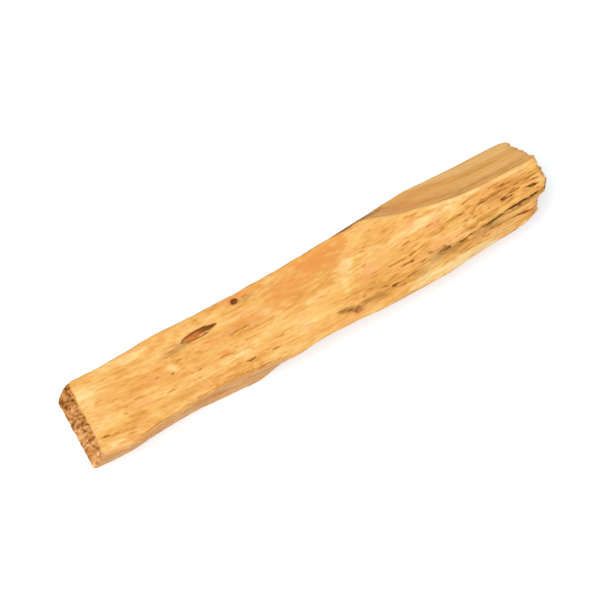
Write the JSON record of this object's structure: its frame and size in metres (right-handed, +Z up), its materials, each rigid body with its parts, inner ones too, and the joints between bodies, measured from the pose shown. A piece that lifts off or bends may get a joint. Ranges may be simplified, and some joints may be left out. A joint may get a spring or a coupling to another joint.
{
  "type": "palo santo stick",
  "caption": "Split stick of fragrant palo santo wood, sawn square at one end and broken in ledges at the other, lying on its flat side.",
  "frame": {"origin": "on the surface the stick lies on, under the middle of its outline", "axes": "+X along the grain towards the broken end, +Y across towards the smooth back face, +Z up"},
  "size_m": [0.1018, 0.0202, 0.0156],
  "materials": {
    "wood": "dry split wood, matt, yellow-orange with brown flecks and a darker porous sawn end"
  },
  "bodies": {
    "root": {"palo_santo_stick": "wood"}
  },
  "joints": []
}
